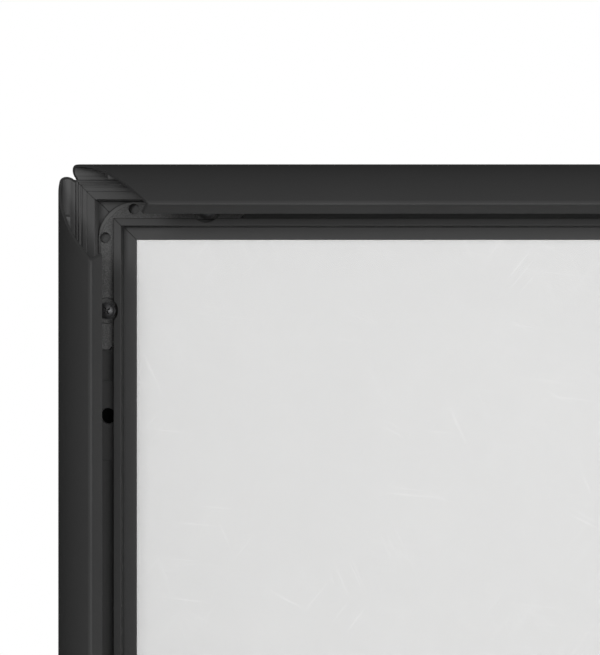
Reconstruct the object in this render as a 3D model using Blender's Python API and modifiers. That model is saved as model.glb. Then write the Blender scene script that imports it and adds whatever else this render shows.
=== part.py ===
"""Front-opening poster frame: four mitred base rails, four hinged covers that snap shut on the sheet.

Units are metres. +X is right, +Z is up, the wall is the plane y = 0 and the front faces -Y.
A section is drawn in (u, h): u runs inwards from the frame's outer edge, h forwards from the wall.
The covers are modelled open, as they stand when the sheet is changed.
"""

import math

import bmesh
import bpy
from mathutils import Matrix, Vector

# Whole frame, measured over the shut covers
frame_width = 0.4916
frame_height = 0.6656

# Clearances
seat_gap = 0.0003
mitre_gap = 0.0003
cut_overrun = 0.001

# Hinge: a bead along the base rail inside a hook along the cover
hinge_u = 0.00275
hinge_h = 0.0101
bead_radius = 0.00075
hook_wall = 0.0007
hook_start_angle = math.radians(65)
hook_end_angle = math.radians(262)
cover_open_angle = math.radians(66.5)

# Base rail section
flange_rise = 0.0017
flange_inner_u = 0.0120
flange_plate = 0.0015
outer_leg_u = 0.0057
outer_leg_wall = 0.0014
inner_leg_wall = 0.0022
floor_thickness = 0.0026
channel_width = 0.0094
rib_width = 0.0039
ledge_width = 0.0063
ledge_thickness = 0.0011
groove_depth = 0.0048
back_lip_thickness = 0.0009
back_lip_reach = 0.0022
edge_chamfer = 0.00025
neck_top_angle = math.radians(42)
neck_bottom_angle = math.radians(-15)
neck_root_drop = 0.0008
bead_groove_width = 0.00035
round_ridge_radius = 0.00055
wide_groove_width = 0.0009
wide_groove_depth = 0.0009
flat_ridge_width = 0.00225
fine_groove_width = 0.00025
fine_groove_depth = 0.0003

# Cover section
cover_width = 0.0458
cover_wall = 0.0014
crown_u = 0.0143
crown_rise = 0.0105
nose_rise = 0.0005
haunch_radius = 0.036
shoulder_radius = 0.0044
shoulder_outer_end = math.radians(218)
shoulder_inner_end = math.radians(232)
hook_neck_angle = math.radians(135)
nose_radius = 0.0005
nose_length = 0.0009
nose_step = 0.00035
lip_slant = 0.0036
spring_rib_u = 0.0223
spring_rib_width = 0.0012
spring_rib_length = 0.0022

# Sheets
panel_thickness = 0.002
sheet_thickness = 0.001

# Corner plate
plate_thickness = 0.0047
plate_leg_end = 0.0876
plate_corner_radius = 0.0185
plate_chamfer = 0.0018
plate_tip_cut = 0.003
plate_hole_radius = 0.0027
plate_hole_offset = 0.0308
plate_hole_inset = 0.0042

# Corner screw
screw_inset = 0.0679
screw_channel_inset = 0.0051
screw_shank_radius = 0.0022
screw_head_radius = 0.0043
screw_head_height = 0.0027
screw_head_rim = 0.0010
screw_tip_cover = 0.0004
spot_face_radius = 0.0066
spot_face_depth = 0.0022

# Wall fixing holes and their pads, in the two upright rails
wall_hole_inset = 0.1218
wall_hole_radius = 0.004
pad_length = 0.041
pad_offset = 0.0022
pad_thickness = 0.0006

# Snap springs, clipped inside the covers
spring_width = 0.014
spring_thickness = 0.0005
spring_foot_angle = math.radians(100)
spring_leaf_length = 0.0042
long_side_spring_count = 3
short_side_spring_count = 2
spring_end_inset = 0.127

# Facets and tolerances
arc_step = math.radians(12)
crown_step = math.radians(2.4)
turned_step_count = 28
sharp_angle = math.radians(30)
flat_angle = math.radians(1)
weld_distance = 0.000001

# Shares and turns
middle_share = 0.5
quarter_turn = math.pi / 2
half_turn = math.pi
full_turn = 2 * math.pi

# Places that follow from the sizes above
flange_height = hinge_h + flange_rise
groove_height = panel_thickness + 2 * seat_gap
ledge_top = back_lip_thickness + groove_height + ledge_thickness
rib_outer_u = flange_inner_u + channel_width
rib_inner_u = rib_outer_u + rib_width
ledge_inner_u = rib_inner_u + ledge_width
groove_u = ledge_inner_u - groove_depth
panel_back_h = back_lip_thickness + seat_gap
sheet_back_h = panel_back_h + panel_thickness + seat_gap
sheet_front_h = sheet_back_h + sheet_thickness
plate_back_h = floor_thickness + seat_gap
plate_front_h = plate_back_h + plate_thickness
spot_floor_h = plate_front_h - spot_face_depth
screw_u = flange_inner_u + screw_channel_inset
hook_inner_radius = bead_radius + seat_gap
hook_outer_radius = hook_inner_radius + hook_wall
lip_drop = hinge_h + nose_rise - sheet_front_h - seat_gap
mitre_setback = mitre_gap / math.sqrt(2)

# Each side's turn about +Y from the left rail, and where its outer edge lies
sides = {
    "left": (0, Vector((-frame_width / 2, 0, 0)), frame_height),
    "top": (1, Vector((0, 0, frame_height / 2)), frame_width),
    "right": (2, Vector((frame_width / 2, 0, 0)), frame_height),
    "bottom": (3, Vector((0, 0, -frame_height / 2)), frame_width),
}
corners = {
    "top_left": (0, Vector((-frame_width / 2, 0, frame_height / 2)), ("left", "top")),
    "top_right": (1, Vector((frame_width / 2, 0, frame_height / 2)), ("top", "right")),
    "bottom_right": (2, Vector((frame_width / 2, 0, -frame_height / 2)), ("right", "bottom")),
    "bottom_left": (3, Vector((-frame_width / 2, 0, -frame_height / 2)), ("bottom", "left")),
}


def clear_scene():
    for old in list(bpy.data.objects):
        bpy.data.objects.remove(old, do_unlink=True)


def new_collection(name):
    made = bpy.data.collections.new(name)
    bpy.context.scene.collection.children.link(made)
    return made


def new_material(name, colour, roughness, metallic, alpha=1.0):
    made = bpy.data.materials.new(name)
    made.use_nodes = True
    shader = made.node_tree.nodes["Principled BSDF"]
    shader.inputs["Base Color"].default_value = (*colour, 1.0)
    shader.inputs["Roughness"].default_value = roughness
    shader.inputs["Metallic"].default_value = metallic
    shader.inputs["Alpha"].default_value = alpha
    return made


def new_empty(name, location, rotation, parent=None):
    made = bpy.data.objects.new(name, None)
    made.location = location
    made.rotation_euler = rotation
    made.parent = parent
    parts.objects.link(made)
    return made


def add_part(name, mesh, material, parent=None):
    made = bpy.data.objects.new(name, mesh)
    made.parent = parent
    parts.objects.link(made)
    if not mesh.materials:
        mesh.materials.append(material)
    return made


def arc(centre, radius, start, end, largest_step=arc_step):
    """Points on a circle from one angle to the other, both ends included."""
    steps = max(1, math.ceil(abs(end - start) / largest_step))
    angles = [start + (end - start) * step / steps for step in range(steps + 1)]
    return [centre + radius * Vector((math.cos(a), math.sin(a))) for a in angles]


def mesh_from_outline(name, outline, length):
    """A flat outline extruded to a closed prism of this length along Z, centred on z = 0."""
    curve = bpy.data.curves.new(name, "CURVE")
    curve.dimensions = "2D"
    curve.fill_mode = "BOTH"
    curve.extrude = length / 2
    spline = curve.splines.new("POLY")
    spline.points.add(len(outline) - 1)
    for point, place in zip(spline.points, outline):
        point.co = (place[0], place[1], 0, 1)
    spline.use_cyclic_u = True
    holder = bpy.data.objects.new(name, curve)
    bpy.context.scene.collection.objects.link(holder)
    graph = bpy.context.evaluated_depsgraph_get()
    mesh = bpy.data.meshes.new_from_object(holder.evaluated_get(graph))
    bpy.data.objects.remove(holder, do_unlink=True)
    body = bmesh.new()
    body.from_mesh(mesh)
    bmesh.ops.remove_doubles(body, verts=body.verts, dist=weld_distance)
    bmesh.ops.recalc_face_normals(body, faces=body.faces)
    body.to_mesh(mesh)
    body.free()
    mesh.name = name
    return mesh


def mitre_ends(mesh, length, edge_x, swing=0):
    """Slides each end point back by its furthest distance inside the outer edge, which mitres both ends."""
    turned_back = Matrix.Rotation(-swing, 3, "Z")
    for vertex in mesh.vertices:
        furthest_x = max(vertex.co.x, (turned_back @ vertex.co).x)
        inset = furthest_x - edge_x + mitre_setback
        vertex.co.z = math.copysign(length / 2 - inset, vertex.co.z)


def section_to_local(points):
    """Section points (u, h) as local (x, y), seen from the rail's end, with the front at -Y."""
    return [(u, -h) for u, h in points]


def base_outline():
    """The base rail's section: hinge bead, ridged flange, channel, rib, ledge and panel groove."""
    bead = Vector((hinge_u, hinge_h))
    neck_reach = hook_outer_radius + seat_gap
    neck_direction = Vector((math.cos(neck_bottom_angle), math.sin(neck_bottom_angle)))
    leg_inner_u = outer_leg_u + outer_leg_wall
    flange_bottom = flange_height - flange_plate
    leg_top = hinge_h - neck_root_drop

    bead_top = arc(bead, bead_radius, neck_top_angle, full_turn + neck_bottom_angle)
    bead_top.reverse()
    groove_start = bead_top[-1]
    ridge_left = groove_start.x + bead_groove_width
    ridge_centre = Vector((ridge_left + round_ridge_radius, flange_height - round_ridge_radius))
    wide_groove_left = ridge_left + 2 * round_ridge_radius
    wide_groove_right = wide_groove_left + wide_groove_width
    flat_ridge_right = wide_groove_right + flat_ridge_width
    wide_groove_floor = flange_height - wide_groove_depth
    fine_groove_floor = flange_height - fine_groove_depth

    points = [(outer_leg_u, 0), (outer_leg_u, leg_top)]
    points += [bead + neck_reach * neck_direction]
    points += bead_top
    points += [(ridge_left, groove_start.y)]
    points += arc(ridge_centre, round_ridge_radius, half_turn, 0)
    points += [(wide_groove_left, wide_groove_floor), (wide_groove_right, wide_groove_floor)]
    points += [(wide_groove_right, flange_height - edge_chamfer)]
    points += [(wide_groove_right + edge_chamfer, flange_height), (flat_ridge_right, flange_height)]
    points += [(flat_ridge_right, fine_groove_floor)]
    points += [(flat_ridge_right + fine_groove_width, fine_groove_floor)]
    points += [(flat_ridge_right + fine_groove_width, flange_height)]
    points += [(flange_inner_u - edge_chamfer, flange_height)]
    points += [(flange_inner_u, flange_height - edge_chamfer)]
    points += [(flange_inner_u, floor_thickness), (rib_outer_u, floor_thickness)]
    points += [(rib_outer_u, flange_height - edge_chamfer)]
    points += [(rib_outer_u + edge_chamfer, flange_height)]
    points += [(rib_inner_u - edge_chamfer, flange_height)]
    points += [(rib_inner_u, flange_height - edge_chamfer)]
    points += [(rib_inner_u, ledge_top), (ledge_inner_u - edge_chamfer, ledge_top)]
    points += [(ledge_inner_u, ledge_top - edge_chamfer)]
    points += [(ledge_inner_u, ledge_top - ledge_thickness)]
    points += [(groove_u, ledge_top - ledge_thickness), (groove_u, back_lip_thickness)]
    points += [(ledge_inner_u + back_lip_reach, back_lip_thickness)]
    points += [(ledge_inner_u + back_lip_reach, 0), (flange_inner_u - inner_leg_wall, 0)]
    points += [(flange_inner_u - inner_leg_wall, flange_bottom), (leg_inner_u, flange_bottom)]
    points += [(leg_inner_u, 0)]
    return points


def cover_arcs():
    """(centre, radius) of the three arcs of the cover's outer face: crown, haunch and shoulder."""
    run = cover_width - crown_u
    drop = crown_rise - nose_rise
    crown_radius = (run**2 + drop**2) / (2 * drop)
    crown = Vector((crown_u - hinge_u, crown_rise - crown_radius))
    haunch = Vector((crown.x, crown_rise - haunch_radius))
    shoulder = point_on(haunch, haunch_radius - shoulder_radius, shoulder_radius - hinge_u)
    return (crown, crown_radius), (haunch, haunch_radius), (shoulder, shoulder_radius)


def point_on(centre, radius, x):
    """The upper point of a circle at this x."""
    return Vector((x, centre.y + math.sqrt(radius**2 - (x - centre.x) ** 2)))


def cover_run(depth, start_x, end_x):
    """Points over the crown and haunch at this depth under the outer face, from one x to the other."""
    crown_arc, haunch_arc, _ = cover_arcs()
    top_x = crown_arc[0].x
    places = [start_x, end_x]
    if min(places) < top_x < max(places):
        places.insert(1, top_x)
    points = []
    for near_x, far_x in zip(places, places[1:]):
        centre, radius = haunch_arc if min(near_x, far_x) < top_x else crown_arc
        start = math.acos((near_x - centre.x) / (radius - depth))
        end = math.acos((far_x - centre.x) / (radius - depth))
        points = points[:-1] + arc(centre, radius - depth, start, end, crown_step)
    return points


def shoulder_run(depth, start, end):
    """Points round the shoulder at this depth under its outer face."""
    shoulder, radius = cover_arcs()[2]
    return arc(shoulder, radius - depth, start, end)


def shoulder_top_angle():
    """Where the shoulder meets the haunch."""
    _, (haunch, _), (shoulder, _) = cover_arcs()
    away = shoulder - haunch
    return math.atan2(away.y, away.x)


def cover_outline():
    """The cover's shut section about the hinge axis: hook, shoulder, crown, nose, lip and spring rib."""
    crown, crown_radius = cover_arcs()[0]
    axis = Vector((0, 0))
    shoulder_top = shoulder_top_angle()

    nose = Vector((cover_width - hinge_u, nose_rise))
    lip_tip = nose - Vector((lip_slant, lip_drop))
    down_lip = (lip_tip - nose).normalized()
    out_of_lip = Vector((-down_lip.y, down_lip.x))
    crown_slope = Vector((nose.y - crown.y, crown.x - nose.x)).normalized()
    nose_top = nose - crown_slope * nose_radius
    nose_front = nose + down_lip * nose_radius
    nose_middle = (nose_top + nose_front + nose) / 3
    nose_foot = nose + down_lip * nose_length

    inner_radius = crown_radius - cover_wall
    lip_back = lip_tip - out_of_lip * cover_wall
    offset = lip_back - crown
    along = offset.dot(down_lip)
    climb = along + math.sqrt(along**2 - offset.length_squared + inner_radius**2)
    lip_root = lip_back - down_lip * climb

    rib_far_x = spring_rib_u + spring_rib_width / 2 - hinge_u
    rib_near_x = rib_far_x - spring_rib_width
    rib_foot_y = point_on(crown, inner_radius, rib_near_x).y - spring_rib_length

    outer_shoulder = shoulder_run(0, shoulder_outer_end, shoulder_top)
    inner_shoulder = shoulder_run(cover_wall, shoulder_top, shoulder_inner_end)
    points = arc(axis, hook_outer_radius, hook_end_angle, hook_neck_angle)
    points += outer_shoulder
    points += cover_run(0, outer_shoulder[-1].x, nose_top.x)[1:-1]
    points += [nose_top, nose_middle, nose_front]
    points += [nose_foot, nose_foot - out_of_lip * nose_step]
    points += [lip_tip, lip_back, lip_root]
    points += cover_run(cover_wall, lip_root.x, rib_far_x)[1:]
    points += [Vector((rib_far_x, rib_foot_y)), Vector((rib_near_x, rib_foot_y))]
    points += cover_run(cover_wall, rib_near_x, inner_shoulder[0].x)[:-1]
    points += inner_shoulder
    points += arc(axis, hook_inner_radius, hook_start_angle, hook_end_angle)
    return points


def spring_path():
    """Centre line of a snap spring: under the crown, round the shoulder and back to a foot."""
    shoulder = cover_arcs()[2][0]
    depth = cover_wall + seat_gap + spring_thickness / 2
    start_x = spring_rib_u - spring_rib_width / 2 - hinge_u - seat_gap
    shoulder_part = shoulder_run(depth, shoulder_top_angle(), half_turn)
    rest_y = flange_rise + seat_gap + spring_thickness / 2
    foot_radius = shoulder.y - rest_y
    foot = Vector((shoulder_part[-1].x + foot_radius, shoulder.y))
    foot_end = half_turn + spring_foot_angle
    leaf_way = Vector((-math.sin(foot_end), math.cos(foot_end)))

    points = cover_run(depth, start_x, shoulder_part[0].x)[:-1]
    points += shoulder_part
    points += arc(foot, foot_radius, half_turn, foot_end)[1:]
    points += [points[-1] + leaf_way * spring_leaf_length]
    return points


def turned_mesh(name, profile):
    """A mesh of the profile (radius, height), listed from top to bottom."""
    mesh = bpy.data.meshes.new(name)
    edges = [(index, index + 1) for index in range(len(profile) - 1)]
    mesh.from_pydata([(radius, 0, height) for radius, height in profile], edges, [])
    return mesh


def turn(part):
    """Turns the profile into a solid about its own Z axis."""
    screw = part.modifiers.new("turned", "SCREW")
    screw.steps = turned_step_count
    screw.render_steps = turned_step_count
    screw.use_merge_vertices = True
    screw.merge_threshold = weld_distance
    screw.use_smooth_shade = True


def add_cutter(name, profile, location, parent):
    cutter = bpy.data.objects.new(name, turned_mesh(name, profile))
    cutter.location = location
    cutter.rotation_euler = (quarter_turn, 0, 0)
    cutter.parent = parent
    cutter.hide_render = True
    cutter.display_type = "WIRE"
    cutters.objects.link(cutter)
    turn(cutter)
    return cutter


def cut(part, cutter):
    boolean = part.modifiers.new(cutter.name, "BOOLEAN")
    boolean.operation = "DIFFERENCE"
    boolean.solver = "EXACT"
    boolean.object = cutter


def hole_profile(radius, top, bottom):
    return [(0, top), (radius, top), (radius, bottom), (0, bottom)]


def spot_face_profile():
    """The screw's clearance hole with the wider spot face over it."""
    top = flange_height + cut_overrun
    hole_radius = screw_shank_radius + seat_gap
    wide = [(0, top), (spot_face_radius, top), (spot_face_radius, spot_floor_h)]
    return wide + [(hole_radius, spot_floor_h), (hole_radius, -cut_overrun), (0, -cut_overrun)]


def screw_profile():
    """A pan-head screw: domed head, short rim and plain shank, measured from the wall."""
    seat = spot_floor_h + seat_gap
    dome_height = screw_head_height - screw_head_rim
    dome_radius = (screw_head_radius**2 + dome_height**2) / (2 * dome_height)
    dome_centre = Vector((0, seat + screw_head_height - dome_radius))
    dome_end = math.asin((seat + screw_head_rim - dome_centre.y) / dome_radius)
    dome = arc(dome_centre, dome_radius, quarter_turn, dome_end)
    dome[0].x = 0
    shank = [(screw_head_radius, seat), (screw_shank_radius, seat)]
    return dome + shank + [(screw_shank_radius, screw_tip_cover), (0, screw_tip_cover)]


def shade_by_angle(part):
    part.data.shade_smooth()
    part.data.set_sharp_from_angle(angle=sharp_angle)


def add_base_rail(side, rail_frame, length):
    outline = section_to_local(base_outline())
    mesh = mesh_from_outline(f"base_rail_{side}", outline, length)
    mitre_ends(mesh, length, 0)
    rail = add_part(f"base_rail_{side}", mesh, base_paint, rail_frame)
    shade_by_angle(rail)
    return rail


def add_cover(side, hinge, length):
    outline = section_to_local(cover_outline())
    mesh = mesh_from_outline(f"cover_{side}", outline, length)
    mitre_ends(mesh, length, -hinge_u, cover_open_angle)
    cover = add_part(f"cover_{side}", mesh, cover_paint, hinge)
    cover.rotation_euler = (0, 0, -cover_open_angle)
    shade_by_angle(cover)
    return cover


def spring_mesh():
    """The spring strip as an open surface, one quad wide."""
    mesh = bpy.data.meshes.new("snap_spring")
    strip = bmesh.new()
    rows = []
    for point in spring_path():
        ends = (-spring_width / 2, spring_width / 2)
        rows.append([strip.verts.new((point.x, -point.y, z)) for z in ends])
    for near, far in zip(rows, rows[1:]):
        strip.faces.new((near[0], near[1], far[1], far[0]))
    strip.to_mesh(mesh)
    strip.free()
    return mesh


def add_springs(side, cover, length, count, mesh):
    span = length - 2 * spring_end_inset
    for index in range(count):
        spring = add_part(f"snap_spring_{side}_{index + 1}", mesh, spring_steel, cover)
        spring.location.z = span * (index / (count - 1) - middle_share)
        shell = spring.modifiers.new("thickness", "SOLIDIFY")
        shell.thickness = spring_thickness
        shell.offset = 0
        shell.use_even_offset = True


def plate_outline():
    """The corner plate's outline: a round outer corner and two legs with clipped tips."""
    outer = flange_inner_u + seat_gap
    inner = rib_outer_u - seat_gap
    turn_centre = Vector((outer + plate_corner_radius, outer + plate_corner_radius))
    points = [(plate_leg_end, outer), (plate_leg_end, inner - plate_tip_cut)]
    points += [(plate_leg_end - plate_tip_cut, inner), (inner, inner)]
    points += [(inner, plate_leg_end - plate_tip_cut), (inner - plate_tip_cut, plate_leg_end)]
    points += [(outer, plate_leg_end)]
    points += arc(turn_centre, plate_corner_radius, half_turn, half_turn + quarter_turn)
    return points


def chamfer_outer_edge(mesh):
    """Chamfers the plate's front edge where it faces away from the sheet."""
    body = bmesh.new()
    body.from_mesh(mesh)
    bmesh.ops.dissolve_limit(body, angle_limit=flat_angle, verts=body.verts, edges=body.edges)
    reach = flange_inner_u + seat_gap + weld_distance
    centre = Vector((reach + plate_corner_radius, reach + plate_corner_radius))

    def is_outer(vertex):
        place = Vector((vertex.co.x, vertex.co.y))
        on_leg = min(place) < reach
        on_turn = max(place) < centre.x and (centre - place).length > plate_corner_radius - weld_distance
        return vertex.co.z > 0 and (on_leg or on_turn)

    edges = [e for e in body.edges if all(is_outer(v) for v in e.verts) and len(e.link_faces) == 2]
    rim = [e for e in edges if abs(e.link_faces[0].normal.dot(e.link_faces[1].normal)) < middle_share]
    bmesh.ops.bevel(body, geom=rim, offset=plate_chamfer, segments=1, affect="EDGES", clamp_overlap=False)
    body.to_mesh(mesh)
    body.free()


def plate_mesh():
    mesh = mesh_from_outline("corner_plate", plate_outline(), plate_thickness)
    chamfer_outer_edge(mesh)
    middle_h = plate_back_h + plate_thickness / 2
    swap = Matrix(((1, 0, 0, 0), (0, 0, -1, -middle_h), (0, -1, 0, 0), (0, 0, 0, 1)))
    mesh.transform(swap)
    return mesh


def corner_place(along_u, along_down):
    """A place in a corner's own frame, by its distances from the two outer edges."""
    return Vector((along_u, 0, -along_down))


def add_corner(name, corner_frame, rails, mesh, screw_mesh):
    """A corner plate with its two screws, which also pass through the rails' floors."""
    plate = add_part(f"corner_plate_{name}", mesh.copy(), plate_paint, corner_frame)
    hole_u = flange_inner_u + plate_hole_inset
    hole = hole_profile(plate_hole_radius, plate_front_h + cut_overrun, plate_back_h - seat_gap / 2)
    screw_places = ((screw_u, screw_inset), (screw_inset, screw_u))
    hole_places = ((hole_u, plate_hole_offset), (plate_hole_offset, hole_u))
    for rail, screw_place, hole_place in zip(rails, screw_places, hole_places):
        label = f"{name}_{rail}"
        place = corner_place(*screw_place)
        spot_face = add_cutter(f"spot_face_{label}", spot_face_profile(), place, corner_frame)
        cut(plate, spot_face)
        cut(base_rails[rail], spot_face)
        cut(plate, add_cutter(f"plate_hole_{label}", hole, corner_place(*hole_place), corner_frame))
        screw = add_part(f"corner_screw_{label}", screw_mesh, screw_steel, corner_frame)
        screw.location = place
        screw.rotation_euler = (quarter_turn, 0, 0)
        turn(screw)


def add_wall_fixing(side, label, end, rail, rail_frame, length):
    """A wall screw's hole through the channel floor and the pad round it."""
    hole_z = end * (length / 2 - wall_hole_inset)
    channel_middle = flange_inner_u + channel_width / 2
    through = hole_profile(wall_hole_radius, flange_height, -cut_overrun)
    place = Vector((channel_middle, 0, hole_z))
    cutter = add_cutter(f"wall_hole_{side}_{label}", through, place, rail_frame)
    cut(rail, cutter)

    pad_back = floor_thickness + seat_gap
    half_pad = Vector((channel_width / 2 - seat_gap, pad_length / 2))
    outline = [(sx * half_pad.x, sy * half_pad.y) for sx, sy in ((-1, -1), (1, -1), (1, 1), (-1, 1))]
    mesh = mesh_from_outline(f"fixing_pad_{side}_{label}", outline, pad_thickness)
    mesh.transform(Matrix.Rotation(quarter_turn, 4, "X"))
    pad = add_part(f"fixing_pad_{side}_{label}", mesh, pad_paint, rail_frame)
    pad.location = (channel_middle, -pad_back - pad_thickness / 2, hole_z - end * pad_offset)
    cut(pad, cutter)


def add_sheet(name, edge_u, back_h, thickness, material):
    """A flat rectangular sheet that reaches to this distance from the frame's outer edge."""
    body = bmesh.new()
    bmesh.ops.create_cube(body, size=1)
    size = Vector((frame_width - 2 * edge_u, thickness, frame_height - 2 * edge_u))
    bmesh.ops.scale(body, vec=size, verts=body.verts)
    bmesh.ops.translate(body, vec=(0, -back_h - thickness / 2, 0), verts=body.verts)
    mesh = bpy.data.meshes.new(name)
    body.to_mesh(mesh)
    body.free()
    return add_part(name, mesh, material)


clear_scene()
parts = new_collection("poster_frame")
cutters = new_collection("cutters")

cover_paint = new_material("cover_paint", (0.040, 0.040, 0.042), 0.42, 0.0)
base_paint = new_material("base_paint", (0.048, 0.048, 0.049), 0.45, 0.0)
plate_paint = new_material("plate_paint", (0.052, 0.052, 0.053), 0.62, 0.0)
pad_paint = new_material("pad_paint", (0.030, 0.030, 0.031), 0.55, 0.0)
screw_steel = new_material("screw_steel", (0.060, 0.060, 0.062), 0.38, 0.8)
spring_steel = new_material("spring_steel", (0.35, 0.35, 0.36), 0.35, 1.0)
panel_white = new_material("panel_white", (0.72, 0.72, 0.715), 0.6, 0.0)
clear_film = new_material("clear_film", (0.95, 0.95, 0.95), 0.12, 0.0, alpha=0.2)

base_rails = {}
shared_spring = spring_mesh()
for side, (turns, edge, length) in sides.items():
    rail_frame = new_empty(f"{side}_frame", edge, (0, turns * quarter_turn, 0))
    rail = add_base_rail(side, rail_frame, length)
    base_rails[side] = rail
    hinge = new_empty(f"{side}_hinge", (hinge_u, -hinge_h, 0), (0, 0, 0), rail_frame)
    cover = add_cover(side, hinge, length)
    upright = side in ("left", "right")
    spring_count = long_side_spring_count if upright else short_side_spring_count
    add_springs(side, cover, length, spring_count, shared_spring)
    if upright:
        upper_end = math.copysign(1, math.cos(turns * quarter_turn))
        add_wall_fixing(side, "upper", upper_end, rail, rail_frame, length)
        add_wall_fixing(side, "lower", -upper_end, rail, rail_frame, length)

shared_plate = plate_mesh()
shared_screw = turned_mesh("corner_screw", screw_profile())
for name, (turns, place, rails) in corners.items():
    corner_frame = new_empty(f"{name}_corner", place, (0, turns * quarter_turn, 0))
    add_corner(name, corner_frame, rails, shared_plate, shared_screw)

add_sheet("back_panel", groove_u + seat_gap, panel_back_h, panel_thickness, panel_white)
add_sheet("clear_sheet", ledge_inner_u + seat_gap, sheet_back_h, sheet_thickness, clear_film)
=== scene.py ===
# %% [markdown]
# # A front-opening poster frame
#
# This frame holds a poster behind a clear sheet. Four mitred aluminium rails make the base, and a hinged
# cover along each rail snaps shut over the poster's edge. Here all four covers stand open.
#
# The solid parts come ready-made from the CAD model, so this script only dresses them: it gives each
# surface its finish, adds the small shapes that the solids leave out, and sets up camera and light.
# All lengths are metres. +X is right, +Z is up, and the front faces -Y.

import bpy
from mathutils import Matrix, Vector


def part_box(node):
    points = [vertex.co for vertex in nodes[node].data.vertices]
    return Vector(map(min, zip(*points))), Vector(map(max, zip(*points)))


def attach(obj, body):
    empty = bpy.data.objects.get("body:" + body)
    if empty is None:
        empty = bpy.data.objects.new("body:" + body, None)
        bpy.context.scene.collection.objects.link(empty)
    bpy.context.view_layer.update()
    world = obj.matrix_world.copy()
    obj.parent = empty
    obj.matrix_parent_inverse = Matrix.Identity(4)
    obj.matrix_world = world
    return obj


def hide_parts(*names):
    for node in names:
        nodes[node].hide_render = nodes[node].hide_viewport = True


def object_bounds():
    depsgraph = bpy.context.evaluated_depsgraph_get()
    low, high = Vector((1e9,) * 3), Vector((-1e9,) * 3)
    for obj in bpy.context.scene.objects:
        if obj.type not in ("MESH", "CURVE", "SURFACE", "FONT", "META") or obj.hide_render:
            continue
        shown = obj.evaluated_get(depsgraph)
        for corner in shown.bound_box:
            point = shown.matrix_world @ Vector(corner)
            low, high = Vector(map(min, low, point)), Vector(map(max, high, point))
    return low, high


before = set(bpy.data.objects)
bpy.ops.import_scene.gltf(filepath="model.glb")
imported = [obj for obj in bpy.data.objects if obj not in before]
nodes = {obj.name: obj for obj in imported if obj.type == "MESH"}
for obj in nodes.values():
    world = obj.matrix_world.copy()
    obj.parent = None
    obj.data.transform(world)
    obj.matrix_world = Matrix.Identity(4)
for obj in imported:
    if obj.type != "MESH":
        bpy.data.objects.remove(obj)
cad_box = [list(corner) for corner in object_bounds()]

# %% Modules
import math

import bmesh
import bpy
from mathutils import Matrix, Vector

# %% [markdown]
# ## Camera
#
# The picture is a close look at one corner. A camera can be placed by eye, but here the steps between the
# frame's layers fix it: a near edge shifts against a far one as the camera moves. The camera looks
# straight at the wall, so the sides stay parallel to the picture's edges. It looks a little above the
# picture's middle, which the lens shift gives without tilting the camera.


# %% A helper that adds an object
def add_object(name, data):
    """An object in the scene that shows this camera, lamp or mesh."""
    made = bpy.data.objects.new(name, data)
    bpy.context.scene.collection.objects.link(made)
    return made


# %% Camera
# A sensor is measured in millimetres, and its long side lies along the picture's height.
image_height = 655
focal_length_pixels = 845
level_row = 319.5
sensor_long_side = 36
camera_place = (-0.1306, -0.4366, 0.2604)
nearest_seen = 0.01
quarter_turn = math.radians(90)

camera_data = bpy.data.cameras.new("corner_camera")
camera_data.sensor_width = sensor_long_side
camera_data.lens = focal_length_pixels * sensor_long_side / image_height
camera_data.shift_y = (level_row - image_height / 2) / image_height
camera_data.clip_start = nearest_seen
camera = add_object("corner_camera", camera_data)
camera.location = camera_place
camera.rotation_euler = (quarter_turn, 0, 0)
bpy.context.scene.camera = camera
print("lens", round(camera_data.lens, 2), "mm, shift", round(camera_data.shift_y, 4))

# %% [markdown]
# ## Background
#
# The picture's background is white. A white backdrop could be lit until it clips, but that light would
# also flood the black frame. So the world is white only for the camera, in mirror images and behind clear
# things, and it gives the object just a trace of light from all round.


# %% Helpers for nodes
def add_node(tree, kind, inputs=None, **settings):
    """Adds a node. An input is a plain value, or another node's output to link from."""
    made = tree.nodes.new(kind)
    for name, value in settings.items():
        setattr(made, name, value)
    for name, value in (inputs or {}).items():
        if isinstance(value, bpy.types.NodeSocket):
            tree.links.new(value, made.inputs[name])
        else:
            made.inputs[name].default_value = value
    return made


def calculate(tree, operation, *values):
    """The result of one sum. Each value is a number or another node's output."""
    return add_node(tree, "ShaderNodeMath", dict(enumerate(values)), operation=operation).outputs[0]


# %% World
white = (1, 1, 1, 1)
ambient_strength = 0.02
background_strength = 1.0

world = bpy.data.worlds.new("studio")
world.use_nodes = True
world_tree = world.node_tree
world_tree.nodes.clear()
rays = add_node(world_tree, "ShaderNodeLightPath").outputs
seen_or_mirrored = calculate(world_tree, "MAXIMUM", rays["Is Camera Ray"], rays["Is Glossy Ray"])
shows_white = calculate(world_tree, "MAXIMUM", seen_or_mirrored, rays["Is Transmission Ray"])
strength_range = {"Value": shows_white, "To Min": ambient_strength, "To Max": background_strength}
strength = add_node(world_tree, "ShaderNodeMapRange", strength_range).outputs["Result"]
background = add_node(world_tree, "ShaderNodeBackground", {"Color": white, "Strength": strength})
add_node(world_tree, "ShaderNodeOutputWorld", {"Surface": background.outputs[0]})
bpy.context.scene.world = world
bpy.context.scene.view_settings.view_transform = "Standard"
print("world:", len(world_tree.nodes), "nodes")

# %% [markdown]
# ## Lamps
#
# Black metal shows its shape only through soft light: a small lamp would give hard glints and leave the
# rest black. The brightness of each strip in the picture tells where the light comes from, because every
# strip faces another way. Three large soft lamps stand two metres in front, about level with the corner:
# the key a little to the left, one to the right of it, and a wide one further right. A fourth stands behind
# and above, for the frame's back and for the floor.

# %% Lamps
corner_place = (-0.2, 0.0, 0.28)


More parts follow.
